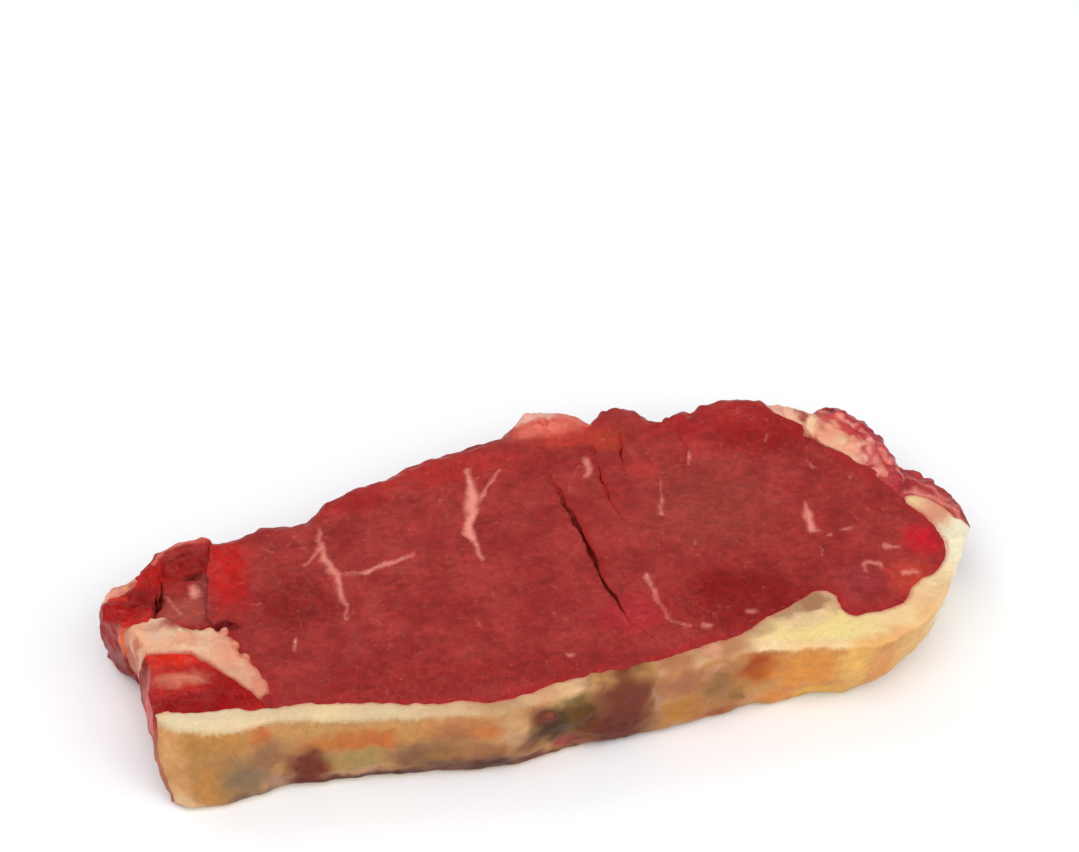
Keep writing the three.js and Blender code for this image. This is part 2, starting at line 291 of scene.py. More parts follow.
def raw_muscle(name, deep, flesh, fresh, spots=(), moist=0.12, sides=()):
    """Raw beef cut across its grain. Deep red in its middle and fresher red towards its edges, it shows
    fibre bundles end on, flecks and veins of fat between them, and a moist film over all of it."""
    material = bpy.data.materials.new(name)
    material.use_nodes = True
    tree = material.node_tree
    tree.nodes.clear()
    mm, at = placed(tree, grain=4, sway=4.0)
    marbling = add(tree, "ShaderNodeAttribute", attribute_name="marbling").outputs["Fac"]
    edge = add(tree, "ShaderNodeAttribute", attribute_name="edge").outputs["Fac"]
    wall = add(tree, "ShaderNodeAttribute", attribute_name="wall").outputs["Fac"]
    cleft = add(tree, "ShaderNodeAttribute", attribute_name="cleft").outputs["Fac"]

    broad = add(tree, "ShaderNodeTexNoise", {
        "Vector": mm, "Scale": 1 / BROAD, "Detail": 3.0, "Roughness": 0.6})
    colour = mixed(tree, ramp(tree, broad, 0.36, 0.62), linear(deep), linear(flesh))
    fresh_share = add(tree, "ShaderNodeMath", {0: edge, 1: broad}, operation="MULTIPLY")
    colour = mixed(tree, ramp(tree, fresh_share, 0.12, 0.6), colour, linear(fresh))
    colour = patches(tree, colour, spots, at)

    # Bundles of fibres, each a little lighter or darker, and the streaks that the knife's drag leaves
    bundles = add(tree, "ShaderNodeTexVoronoi", {
        "Vector": at, "Scale": 1 / BUNDLE, "Smoothness": 0.6}, feature="SMOOTH_F1")
    tone = add(tree, "ShaderNodeSeparateColor", {0: bundles.outputs["Color"]})
    fleck = add(tree, "ShaderNodeTexNoise", {
        "Vector": mm, "Scale": 1 / FLECK, "Detail": 3.0, "Roughness": 0.65})
    dragged = add(tree, "ShaderNodeVectorMath", {0: mm, 1: (0.22, 1, 1)}, operation="MULTIPLY")
    streak = add(tree, "ShaderNodeTexNoise", {"Vector": dragged, "Scale": 1 / DRAG, "Detail": 2.0})
    light = add(tree, "ShaderNodeMath", {0: tone, 1: fleck}, operation="ADD")
    light = add(tree, "ShaderNodeMath", {0: light, 1: streak}, operation="ADD")
    value = ramp(tree, light, 0.95, 2.05, 0.84, 1.16)
    colour = add(tree, "ShaderNodeHueSaturation", {"Color": colour, "Value": value})
    tissue = add(tree, "ShaderNodeTexVoronoi", {
        "Vector": at, "Scale": 1 / (BUNDLE * 1.6)}, feature="DISTANCE_TO_EDGE")
    thin = add(tree, "ShaderNodeMath", {
        0: ramp(tree, tissue, 0.0, 0.16, 0.17, 0.0), 1: ramp(tree, broad, 0.4, 0.62)}, operation="MULTIPLY")
    colour = mixed(tree, thin, colour, linear("b5514a"))

    # Crumbs of fat as small as a grain of salt, and the veins that the mesh remembers
    crumbs = add(tree, "ShaderNodeTexNoise", {
        "Vector": mm, "Scale": 1 / CRUMB, "Detail": 3.0, "Roughness": 0.65})
    colour = mixed(tree, ramp(tree, crumbs, 0.61, 0.84, 0.0, 0.45), colour, linear("c87063"))
    frayed = add(tree, "ShaderNodeMath", {
        0: ramp(tree, fleck, 0.3, 0.7, -0.14, 0.14),
        1: ramp(tree, crumbs, 0.3, 0.7, -0.24, 0.24)}, operation="ADD")
    depth = add(tree, "ShaderNodeMath", {0: marbling, 1: frayed}, operation="ADD")
    vein = add(tree, "ShaderNodeMapRange", {
        "Value": depth, "From Min": -0.7, "From Max": 1.3, "To Min": 0.0, "To Max": 0.92,
    }, interpolation_type="SMOOTHSTEP")
    colour = mixed(tree, vein, colour, linear("e58f7f"))
    # Painted shade: the clefts are darkened with a deep red, over the shadow that their own sides cast
    colour = mixed(tree, cleft, colour, linear("94160f"))

    # The side is closed by silverskin: thin grey-pink tissue, with the dark lean showing through
    long_way = add(tree, "ShaderNodeVectorMath", {0: at, 1: (1, 1, 0.3)}, operation="MULTIPLY")
    film = add(tree, "ShaderNodeTexNoise", {
        "Vector": long_way, "Scale": 1 / FILM, "Detail": 4.0, "Roughness": 0.6})
    skin = mixed(tree, ramp(tree, film, 0.42, 0.72), linear("731b1a"), linear("ab574d"))
    skin = patches(tree, skin, sides, at)
    wall_share = add(tree, "ShaderNodeMath", {0: wall, 1: 0.8}, operation="MULTIPLY")
    colour = mixed(tree, wall_share, colour, skin)

    dome = add(tree, "ShaderNodeMath", {0: fleck, 1: bundles.outputs["Distance"]}, operation="SUBTRACT")
    bump = add(tree, "ShaderNodeBump", {"Height": dome, "Strength": 0.6, "Distance": 0.16 * MM})
    flesh_shader = add(tree, "ShaderNodeBsdfPrincipled", {
        "Base Color": colour, "Normal": bump,
        "Roughness": ramp(tree, broad, 0.3, 0.7, 0.5, 0.34), "IOR": 1.38,
        "Subsurface Weight": 0.15, "Subsurface Radius": (1.0, 0.22, 0.15), "Subsurface Scale": 1.6 * MM,
        "Specular IOR Level": 0.12, "Coat Weight": moist, "Coat Roughness": 0.14, "Coat IOR": 1.33,
    })
    add(tree, "ShaderNodeOutputMaterial", {"Surface": flesh_shader})
    return material


def finish_lean(piece, node, material, veins=(), clefts=(), roughness=1.0):
    """Draws the lean's veins and clefts into its mesh, and hands it its material and place."""
    points = points_of(piece)
    facing = points_of(piece, "normal")
    # 1 on an upright side, 0 on the cut face and the underside
    upright = 1 - smooth(np.abs(facing[:, 2]), 0.35, 0.8)
    fringe = nearness(points, FAT_NODES, FRINGE)
    ragged(piece, roughness, clefts)
    wavy = points + drift_at(points, VEIN_WAVE, VEIN_SWAY)
    outside = np.full(len(points), -3.0)  # mm, too far from any line for the material to show one
    depth = np.maximum.reduce([outside] + [inside_line(wavy, *vein) for vein in veins])
    opened = np.maximum.reduce([outside] + [inside_line(points, *cleft) for cleft in clefts])
    remember(piece, "marbling", depth)
    remember(piece, "edge", np.maximum(fringe, upright))
    remember(piece, "wall", upright)
    # The cleft share is painted shade: how much deep red darkens each cleft, only near the cut face
    remember(piece, "cleft", smooth(opened, -0.9, 0.5) * smooth(points[:, 2], *CLEFT_SHADE_HEIGHTS) * 0.7)
    piece.data.materials.append(material)
    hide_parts(node)
    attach(piece, "root")


# Veins of fat in the eye, and one painted highlight: points on the cut face and the width at each, in mm
EYE_VEINS = [
    ([(-11.3, 28.6), (-12.3, 18.6), (-14.4, 8.5), (-13.8, -2.1)], [1.2, 3.2, 2.8, 1.0]),
    ([(-11.5, 17.4), (-3.7, 27.2)], [1.2, 0.6]),
    ([(-48.8, 15.4), (-49.4, 4.9), (-47.2, -0.9), (-47.2, -8.7), (-46.3, -15.2)], [0.6, 1.9, 1.4, 0.9, 0.5]),
    ([(-53.4, 5.1), (-49.6, 9.3)], [0.9, 0.7]),
    ([(-44.9, -1.4), (-41.4, -1.1), (-35.2, 1.1), (-29.1, 2.6)], [0.5, 1.1, 1.4, 0.9]),
    ([(64.6, 5.7), (64.6, 0.7), (65, -4.4)], [0.6, 1.9, 2.2]),
    ([(80.8, -12.1), (83.8, -12.6)], [1.0, 0.9]),
    ([(74, -19.2), (74, -17.6), (75.4, -16.4), (77.4, -16.8), (78.6, -18.4)], [0.2, 0.8, 1.3, 1.3, 0.6]),
    # Painted highlight: this short pale streak stands where a bright glint lies, and is drawn the way a vein
    # is
    ([(83.2, -20.5), (86, -20.9)], [1.4, 0.5]),
    ([(23.4, -13.6), (24.4, -20.7), (26.5, -28), (31, -30.6)], [1.2, 0.3, 0.2, 0.6]),
    ([(33, 17.3), (31.1, 5.2)], [0.1, 0.7]),
    ([(16.2, 26.2), (15.7, 21.6)], [1.7, 0.9]),
    ([(41.6, 26), (40.9, 21)], [0.7, 0.4]),
    ([(68.4, -6.2), (69.2, -6)], [0.9, 0.9]),
    ([(72.2, -5.4), (73.2, -5.2)], [0.8, 0.8]),
    ([(34.2, -30.7), (35, -30.9)], [1.2, 1.2]),
    ([(44.9, -27.8), (45.7, -28.4)], [1.4, 1.3]),
    ([(1.3, -34.5), (2.2, -34.5)], [1.2, 1.2]),
    ([(-59.8, -18.8), (-59.8, -22.4)], [1.2, 0.9]),
]
EYE_CLEFTS = [
    ([(7.7, 30), (7.2, 23.3), (8.9, 16.9), (11.8, 6.1), (13.4, -4.1), (14.1, -14), (17, -27), (22, -34)],
     [0.8, 1.2, 1.8, 2.2, 2.4, 2.0, 1.0, 0.2]),
    ([(19.4, 31), (19.4, 24), (19.3, 18), (19.6, 13), (21.5, 6)], [1.2, 1.6, 2.2, 2.2, 0.4]),
    ([(26.2, 35), (25.3, 28), (24.8, 20)], [1.2, 2.2, 0.6]),
    ([(39.8, 32), (40.8, 28), (39.8, 23)], [0.6, 1.2, 0.4]),
    ([(-80, -14), (-77, -12.4), (-74, -11), (-71, -11.5)], [2.2, 3.2, 3.0, 1.6]),
]
# Places where the eye differs: fresh red at both ends, dark in the front right, a paler back edge
EYE_SPOTS = [
    ((42, 6, 23), (14, 13, ALL), "923a30", 0.6),
    ((44, -24, 23), (16, 9, ALL), "7c1513", 0.85),
    ((40, -19, 23), (6, 5, ALL), "801211", 0.6),
    ((89.4, -10.6, 22), (3.7, 4.4, ALL), "bc1824", 0.95),
    ((84, -22, 22), (5, 5, ALL), "b83c2c", 0.8),
    ((73, -22, 22), (5, 4, ALL), "8c2a34", 0.7),
    ((-72.4, 7, 22), (5.2, 12, ALL), "b41412", 0.9),
    # Painted shade: near black in the hollow where the eye, the flap and the tail's seam meet
    ((-73.6, -12, 22), (2.6, 2.3, ALL), "5c0c0a", 0.95),
    ((-58, -8, 22), (8, 9, ALL), "7c1b18", 0.85),
    ((-30, -37, 22), (34, 5, ALL), "87201e", 0.7),
    ((10, 39.4, 22), (8, 3.4, ALL), "dc7060", 0.9),
    ((14, 35, 22), (8, 3, ALL), "bc3a2c", 0.7),
    ((23, 33, 22), (4, 4, ALL), "ac3a26", 0.7),
    ((30, 22, 22), (4, 3, ALL), "aa322a", 0.6),
    ((42, 28, 22), (4, 4, ALL), "b03430", 0.5),
    ((60, 29, 22), (12, 6, ALL), "8e1716", 0.75),
    ((48, 36, 22), (14, 5, ALL), "a01c1c", 0.6),
    ((-22, 30, 22), (22, 5, ALL), "aa2822", 0.7),
    ((-46, 23, 22), (12, 3, ALL), "a21c1a", 0.6),
    ((18, -25, 22), (8, 5, ALL), "a8222e", 0.6),
    ((2, -22, 22), (12, 6, ALL), "8e2626", 0.5),
]
# Hair-fine veins at chance places, most of them running front to back as the long ones do
HAIR_VEINS = 26
chance = random.Random(7)
for _ in range(HAIR_VEINS):
    x, y = chance.uniform(-66, 84), chance.uniform(-32, 30)
    turn = chance.gauss(1.9, 0.6)
    long = chance.uniform(0.6, 4)
    end = (x + long * math.cos(turn), y + long * math.sin(turn))
    EYE_VEINS.append(([(x, y), end], [chance.uniform(-0.3, 0.4), -0.3]))
# The back edge is left uneven where the knife has followed the bone
BACK_EDGE = [(21.6, 37.6), (24, 42), (30, 42), (33, 38), (46, 39.4), (60, 40.4)]

BACK_KNOBS = knobs_along(BACK_EDGE, height=20.6, count=16, size=1.8, seed=3)
eye = cut_flesh("eye_muscle", "eye_of_loin", BACK_KNOBS)
# The eye has bloomed in the air to an even brick red
eye_flesh = raw_muscle("raw beef, eye of loin", "8b2725", "9c322d", "9c2224", EYE_SPOTS)
finish_lean(eye, "eye_muscle", eye_flesh, EYE_VEINS, EYE_CLEFTS)

# The fat cap
# The band of back fat along the front and round the right end, cut with the muscle it grows on. Its cut
# face is fresh cream, and its outer side is the carcass's own dried skin of fat, tanned and blood-stained.

LOBULE = 2.2  # mm across a lobule of fat
FAT_BROAD = 7  # mm across the broad warmer and paler areas of the fat
SHRED = 4  # mm across a shred of lean left on the fat
FAT_GRAIN = 0.9  # mm; a fat cell is 0.1 mm, too fine to show, so the grain is drawn this coarse
SKIN_MOTTLE = 2.2  # mm across a mottle of the dried skin
SKIN_FADE = 3.0  # mm over which the fresh fat turns into dried skin
BLEED = 2.2  # mm beside the lean where the fat is stained pink
RIM_STEP = 4  # mm along the slice over which the height of the cut face is taken


def suet(name, cream, warm, spots=(), skin=None, bled="c46350"):
    """Raw beef fat: cream, waxy and a little see-through, in soft lobules, pink where it meets the lean.
    Its own outer side, where it has one, is a dried skin in the colours that skin gives."""
    material = bpy.data.materials.new(name)
    material.use_nodes = True
    tree = material.node_tree
    tree.nodes.clear()
    mm, at = placed(tree, grain=4.5, sway=6.0)
    lean_side = add(tree, "ShaderNodeAttribute", attribute_name="lean_side").outputs["Fac"]
    dried_side = add(tree, "ShaderNodeAttribute", attribute_name="dried").outputs["Fac"]

    broad = add(tree, "ShaderNodeTexNoise", {"Vector": mm, "Scale": 1 / FAT_BROAD, "Detail": 3.0})
    colour = mixed(tree, ramp(tree, broad, 0.35, 0.65), linear(warm), linear(cream))
    colour = patches(tree, colour, spots, at)
    lobules = add(tree, "ShaderNodeTexVoronoi", {"Vector": at, "Scale": 1 / LOBULE}, feature="SMOOTH_F1")
    grain = add(tree, "ShaderNodeTexNoise", {
        "Vector": mm, "Scale": 1 / FAT_GRAIN, "Detail": 3.0, "Roughness": 0.6})
    colour = add(tree, "ShaderNodeHueSaturation", {
        "Color": colour, "Value": ramp(tree, grain, 0.3, 0.7, 0.93, 1.07)})
    bleed = add(tree, "ShaderNodeMath", {0: lean_side, 1: grain}, operation="MULTIPLY")
    colour = mixed(tree, ramp(tree, bleed, 0.2, 0.62, 0.0, 0.8), colour, linear(bled))
    if skin:
        ground, stains, knot = skin
        dried = patches(tree, patches(tree, linear(ground), stains, at), knot, mm)
        mottle = add(tree, "ShaderNodeTexNoise", {
            "Vector": at, "Scale": 1 / SKIN_MOTTLE, "Detail": 4.0, "Roughness": 0.65})
        dried = add(tree, "ShaderNodeHueSaturation", {
            "Color": dried, "Value": ramp(tree, mottle, 0.3, 0.7, 0.86, 1.14)})
        wavy = add(tree, "ShaderNodeMath", {0: dried_side, 1: grain}, operation="ADD")
        colour = mixed(tree, ramp(tree, wavy, 0.72, 1.28), colour, dried)
    else:
        # An outer side without skin was torn from its neighbour, and shreds of lean stay on it
        long_way = add(tree, "ShaderNodeVectorMath", {0: at, 1: (1, 1, 0.3)}, operation="MULTIPLY")
        film = add(tree, "ShaderNodeTexNoise", {
            "Vector": long_way, "Scale": 1 / SHRED, "Detail": 4.0, "Roughness": 0.6})
        shreds = add(tree, "ShaderNodeMath", {
            0: ramp(tree, film, 0.42, 0.6, 0.0, 0.7), 1: dried_side}, operation="MULTIPLY")
        colour = mixed(tree, shreds, colour, linear(bled))

    relief = add(tree, "ShaderNodeMath", {0: grain, 1: lobules.outputs["Distance"]}, operation="SUBTRACT")
    bump = add(tree, "ShaderNodeBump", {"Height": relief, "Strength": 0.6, "Distance": 0.2 * MM})
    fat_shader = add(tree, "ShaderNodeBsdfPrincipled", {
        "Base Color": colour, "Normal": bump,
        "Roughness": ramp(tree, broad, 0.3, 0.7, 0.52, 0.4), "IOR": 1.45,
        "Subsurface Weight": 0.2, "Subsurface Radius": (1.0, 0.6, 0.35), "Subsurface Scale": 1.6 * MM,
        "Specular IOR Level": 0.14, "Coat Weight": 0.06, "Coat Roughness": 0.22, "Coat IOR": 1.4,
    })
    add(tree, "ShaderNodeOutputMaterial", {"Surface": fat_shader})
    return material


def finish_fat(piece, node, material, rims=(), roughness=0.8):
    """Notes which sides of the fat are dried skin or face the lean, and hands it its material and place.
    The rims say how far below the cut face the skin begins: places along the slice, and the drop there."""
    points = points_of(piece)
    facing = points_of(piece, "normal")
    # 1 on an upright side, 0 on the cut face and the underside
    upright = 1 - smooth(np.abs(facing[:, 2]), 0.45, 0.85)
    if rims:
        along, drops = zip(*rims)
        stretch = (points[:, 0] // RIM_STEP).astype(int)
        face = {n: points[stretch == n, 2].max() for n in set(stretch)}
        below = np.array([face[n] for n in stretch]) - points[:, 2]
        drop = np.interp(points[:, 0], along, drops)
        over_face = smooth(drop, -0.3, -1)
        upright = np.maximum(upright * smooth(below, drop - 0.8, drop + SKIN_FADE), over_face)
        upright *= smooth(facing[:, 2], -0.9, -0.6)  # the underside is a fresh cut
    remember(piece, "dried", upright)
    remember(piece, "lean_side", nearness(points, LEAN_NODES, BLEED))
    ragged(piece, roughness)
    piece.data.materials.append(material)
    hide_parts(node)
    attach(piece, "root")


# The cut face: greenish cream at the left, stained brown where the eye comes nearest the edge, greyish brown
# along the eye's edge by the lobe, yellower in the lobe, tanned along its rim, and palest round the end
CAP_SPOTS = [
    ((-84, -41, 23), (15, 4, ALL), "d4c09c", 0.95),
    ((-64, -43, 23), (7, 4, ALL), "ccb38e", 0.9),
    ((-44, -45.5, 23), (11, 4, ALL), "c8b08c", 0.9),
    ((-28, -46.5, 23), (7, 4, ALL), "c4a27e", 0.9),
    ((-16, -46.5, 23), (7, 4, ALL), "b28a62", 0.95),
    ((-5, -45.5, 22), (4.6, 4, ALL), "c29068", 0.9),
    ((11.5, -43.5, 23), (8, 5, ALL), "743020", 1.0),
    ((17, -42.5, 23), (3, 4, ALL), "6a2c26", 0.8),
    ((25, -41, 23), (5.4, 5, ALL), "a86c48", 0.95),
    ((36, -38, 23), (7, 6, ALL), "ae7852", 0.95),
    ((34, -39, 23), (2, 2, ALL), "d99c80", 0.6),
    ((46, -34, 23), (4.6, 2.4, ALL), "b08662", 0.85),
    ((53, -29.6, 23), (5, 2.6, ALL), "a2785a", 0.85),
    ((60, -27.2, 23), (4.6, 2.2, ALL), "946549", 0.9),
    ((64.4, -29.6, 23), (2, 2.6, ALL), "b8906a", 0.7),
    ((62, -36, 22), (13, 4, ALL), "e2cb84", 0.85),
    ((56, -33.4, 22), (5, 2.4, ALL), "d6b288", 0.7),
    ((80, -35, 22), (9, 5, ALL), "e4c38e", 0.85),
    ((80, -29, 22), (9, 2.6, ALL), "dea67e", 0.6),
    ((72.5, -42.4, 22), (7, 2.6, ALL), "dca460", 0.9),
    ((80, -39.6, 22), (5, 2.6, ALL), "dca468", 0.85),
    ((87, -34.4, 22), (4, 3.6, ALL), "dcac74", 0.8),
    ((91.6, -28, 22), (3, 4, ALL), "dcb484", 0.6),
    # Palest round the end: partly the fat's own whiter cream, and partly painted light that lifts the end out
    # of its shade
    ((97, -12, 20), (7, 10, ALL), "e4dcbe", 0.9),
    ((94.4, -3, 20), (3.4, 5, ALL), "cf8c70", 0.95),
]
# How far below the cut face its skin begins, from left to right; below nothing, the face itself is stained
CAP_RIMS = [
    (-94, 0.9), (-76, 1.2), (-70, 0.2), (-64, 0.3), (-56, 0.9), (-44, 1.1), (-36, 0.3), (-12, 0), (-2, 0.4),
    (3, -0.1), (7, -1.1), (18, -1.1), (22, -0.3), (44, -0.3), (60, -0.3), (86, -0.5), (102, 0.2),
]
# The skin on the outer side: centre and reach along the slice, across it and up it, in mm
CAP_SKIN = [
    ((-91, -44, 12), (2.8, ALL, 14), "d59c66", 1.0),
    ((-90, -44, 2), (4, ALL, 2.6), "d2b088", 0.7),
    ((-82, -44, 19), (8, ALL, 3.4), "b07c3c", 0.95),
    ((-81, -44, 12), (9, ALL, 6.4), "a67644", 0.95),
    ((-83, -44, 7), (4.5, ALL, 5), "b27a3e", 0.9),
    ((-75, -44, 8), (5.4, ALL, 5.4), "7e664c", 0.95),
    ((-74, -44, 1.6), (7, ALL, 1.8), "5f4a44", 0.75),
    ((-71, -44, 20), (2.6, ALL, 2.6), "b8683a", 0.95),
    ((-69, -44, 14), (4, ALL, 4), "8b6043", 0.9),
    ((-67.5, -44, 4.5), (3, ALL, 2.6), "a57d6c", 0.7),
    ((-60.5, -44, 8.6), (5, ALL, 6.4), "661f14", 0.95),
    ((-59, -44, 2.4), (7, ALL, 2.6), "602022", 0.95),
    ((-50, -44, 15.6), (10, ALL, 2.8), "b66c34", 1.0),
    ((-44, -44, 15.4), (4.6, ALL, 2.4), "b86432", 0.75),
    ((-49, -44, 9.4), (6.5, ALL, 2.8), "9e824c", 0.95),
    ((-49, -44, 4.4), (7, ALL, 1.8), "b48a6a", 0.7),
    ((-40, -44, 1.6), (17, ALL, 2.6), "4e1a1c", 1.0),
    ((-35, -44, 17), (5.5, ALL, 3), "b8844c", 0.9),
    ((-35, -44, 9), (7, ALL, 5), "80563a", 0.95),
    ((-25, -44, 17), (8, ALL, 4), "b87548", 0.9),
    ((-21, -44, 16.4), (3.4, ALL, 2.2), "be6e38", 0.75),
    ((-29.5, -44, 9), (3.6, ALL, 4), "926a3a", 0.75),
    ((-20, -44, 8.4), (7, ALL, 3.6), "935c3e", 0.9),
    ((-20, -44, 3), (10, ALL, 3.4), "522a1c", 1.0),
    ((-10.4, -44, 10), (3, ALL, 4), "784830", 0.9),
    ((-28.4, -44, 14), (5, ALL, 4), "855639", 0.5),
    ((-28, -44, 4.6), (6, ALL, 3), "6e4230", 0.9),
    ((-8.6, -44, 20.4), (3, ALL, 3), "965a40", 0.85),
    ((-13.5, -44, 15), (3, ALL, 5), "bd9068", 0.9),
    ((-0.4, -44, 20), (3.6, ALL, 1.8), "9c8856", 0.7),
    ((-3.8, -44, 12.4), (4.8, ALL, 5.6), "482a16", 1.0),
    ((-9, -44, 2.4), (2.6, ALL, 2.2), "60242a", 0.9),
    ((-0.5, -44, 5.2), (4, ALL, 2.4), "92302f", 0.95),
    ((-1, -44, 1.2), (6, ALL, 1.6), "562622", 0.9),
    ((2.4, -44, 14), (4, ALL, 6.6), "5c4019", 1.0),
    ((6.6, -44, 19), (2, ALL, 3.4), "8a5a3c", 0.75),
    ((11, -44, 8), (9, ALL, 9), "622412", 1.0),
    ((13.6, -44, 18), (7, ALL, 6), "6c2e1e", 0.95),
    ((16, -44, 15.6), (2.4, ALL, 3.6), "6e3028", 0.85),
    ((20.6, -44, 14), (0.8, ALL, 5), "b08878", 0.5),
    ((28, -44, 8), (6, ALL, 5.4), "b07434", 1.0),
    ((27, -44, 18), (5.4, ALL, 4), "9e6244", 0.95),
    ((36, -44, 12), (5.4, ALL, 12), "a8703f", 0.95),
    ((34.6, -44, 19), (2.6, ALL, 2), "d09274", 0.5),
    ((35, -44, 14), (3.6, ALL, 4), "86603a", 0.85),
    ((39.6, -44, 8), (1.8, ALL, 2.6), "845c30", 0.7),
    ((34.6, -44, 2.4), (4.4, ALL, 2.6), "9a4e26", 0.9),
    ((45.4, -44, 17.6), (4.8, ALL, 5.4), "a04012", 1.0),
    ((57, -44, 14), (9.6, ALL, 8), "d0883e", 1.0),
    ((51, -44, 5), (8, ALL, 3), "d28340", 0.95),
    ((59, -44, 4), (5.4, ALL, 2.4), "dca642", 0.9),
    ((67.4, -44, 14), (4, ALL, 9), "dcaa5c", 0.95),
    ((74, -44, 12), (4, ALL, 9), "d28c4c", 0.9),
    ((84, -44, 12), (6, ALL, 14), "d8a968", 0.9),
    # Round the end the skin is painted paler: partly its own whiter cream, and partly painted light that
    # lifts the end out of its shade
    ((93, -44, 12), (5, ALL, 14), "e2cfa6", 0.95),
    ((101, -44, 12), (6, ALL, 14), "e8e0c8", 0.95),
]

# A round knot of gristle, dark round its foot, where a small vessel came through the skin
KNOT = Vector((-6, -46.3, 17))
KNOT_STAINS = [
    (KNOT, (3.1, ALL, 2.6), "46291a", 0.95),
    (KNOT, (2.2, ALL, 1.8), "6e2f22", 0.95),
    (KNOT + Vector((0.5, 0, 0.8)), (0.9, ALL, 0.7), "8c4c3c", 0.5),
]
cap = cut_flesh("fat_cap", "fat_cap_band", [(KNOT, [2.6, 2.1, 2.3])])

# Under the lobe the band's foot spreads right and forwards on the table, and round the end it is tucked
# in. Along the slice, in mm: where the lobe begins and ends, and where the end begins.
FOOT_RIGHT, FOOT_FORWARD, END_TUCK = 1.5, 6, 2.5  # mm, all of it on the table and nothing at the cut face
LOBE_FROM, LOBE_TO, END_FROM = (55, 76), (87, 98), (91, 99)
CAP_HEIGHT = 24  # mm
LEAN_HOLD = 7  # mm beside the lean where the foot stays more and more in place
points = points_of(cap)
low = (1 - np.clip(points[:, 2] / CAP_HEIGHT, 0, 1)) * (1 - nearness(points, LEAN_NODES, LEAN_HOLD))
spread = low * smooth(points[:, 0], *LOBE_FROM) * (1 - smooth(points[:, 0], *LOBE_TO))
tucked = low * smooth(points[:, 0], *END_FROM)
points[:, 0] += FOOT_RIGHT * spread - END_TUCK * tucked
points[:, 1] -= FOOT_FORWARD * spread
move_to(cap, points)
DRIED_SKIN = ("b98853", CAP_SKIN, KNOT_STAINS)
cap_fat = suet("raw beef fat with its dried skin", "e4c998", "dcb488", CAP_SPOTS, DRIED_SKIN)
finish_fat(cap, "fat_cap", cap_fat, CAP_RIMS)

# The tail
# The thin end of the slice: small belly muscles folded over each other, with a seam of soft fat between
# them. The lean here is the freshest red, because the knife has opened it last.

TAIL_LEAN_SPOTS = [
    ((-90, -20, 24), (9, 4, ALL), "cc2812", 0.95),
    ((-86, -27.4, 24), (6.4, 1.9, ALL), "c66a54", 0.9),
    ((-88, -24, 24), (5, 1.1, ALL), "9c1612", 0.45),
    ((-76, -29, 24), (5, 6, ALL), "96100f", 0.9),
    ((-83, -36, 24), (14, 4, ALL), "860506", 0.95),
]
# Its side is fresh at the top and dries pale towards the corner on the table
TAIL_LEAN_SIDES = [
    ((-95, -31, 19), (4, 8, 5), "dc5c58", 0.95),
    ((-96, -42, 8), (8, 7, 10), "b98a68", 0.7),
    ((-96, -20, 4), (8, 10, 6), "8c2c2a", 0.7),
]
TAIL_LEAN_VEINS = [([(-90, -26), (-85, -27), (-80, -29.5)], [-0.2, 0.5, -0.2])]
tail_lean = cut_flesh("tail_lean", "tail_lean_muscle")
tail_red = raw_muscle(
    "raw beef, freshly cut", "98181a", "ae2420", "b4241b", TAIL_LEAN_SPOTS, sides=TAIL_LEAN_SIDES)
finish_lean(tail_lean, "tail_lean", tail_red, TAIL_LEAN_VEINS)

TAIL_FAT_SPOTS = [
    ((-87, -12, 24), (6, 3.4, ALL), "dcb693", 0.7),
    ((-91, -12.6, 24), (2.6, 2, ALL), "d0a58c", 0.7),
    ((-79, -15.4, 24), (2.6, 1.6, ALL), "dbb79c", 0.7),
    ((-74.4, -13.4, 24), (2.2, 2, ALL), "e2a896", 0.8),
    ((-84, -15.6, 24), (5, 1.2, ALL), "cf8668", 0.6),
    ((-75, -22, 24), (3, 2.4, ALL), "dc9c7c", 0.6),
    ((-69.6, -33, 24), (1.6, 2.4, ALL), "c87a64", 0.8),
    ((-82, -12, 24), (3, 1.6, ALL), "c48c6a", 0.6),
    ((-74, -18, 24), (4, 6, ALL), "d68f72", 0.7),
    ((-68.6, -27, 24), (2.4, 5, ALL), "d0806a", 0.8),
    ((-94, -14, 24), (2.4, 5, ALL), "e3a884", 0.7),
    ((-84, -9.2, 24), (6, 2.2, ALL), "9c4238", 0.95),
    # Painted shade: the same near black in that hollow, on the seam's side of it
    ((-79.4, -11.4, 24), (1.6, 1.2, ALL), "5c0c0a", 0.9),
    ((-67.8, -37.4, 24), (2.2, 2, ALL), "8c1614", 1.0),
    ((-67.4, -40.2, 24), (4.4, 2.8, ALL), "8c1614", 1.0),
    ((-93, -12, 7), (7, 7, 8), "cc8878", 0.7),
    ((-94, -9.6, 12), (4, 1.6, 9), "b8503e", 0.7),
    ((-95, -14.4, 15), (3, 1, 3.4), "c0705c", 0.8),
    ((-95, -12.4, 19), (3, 1.6, 2), "e2b898", 0.7),
    ((-93, -14, 1), (8, 8, 5), "a4503f", 0.8),
]
# The seam's end stands up in small lobes where the eye has torn away from it
TAIL_SEAM = [(-90, -11), (-84, -13), (-78, -14), (-75.6, -14.4), (-73.6, -17), (-71, -25)]
TAIL_FAT_KNOBS = knobs_along(TAIL_SEAM, height=22.5, count=30, size=1.15, seed=11)
tail_seam = cut_flesh("tail_seam_fat", "tail_seam_of_fat", TAIL_FAT_KNOBS)
# Softer and warmer than the cap's fat, it has drawn in the colour of the lean on both sides
soft_fat = suet("raw beef fat, soft seam", "dcb090", "cf9478", TAIL_FAT_SPOTS, bled="b8402f")
finish_fat(tail_seam, "tail_seam_fat", soft_fat, roughness=1.6)

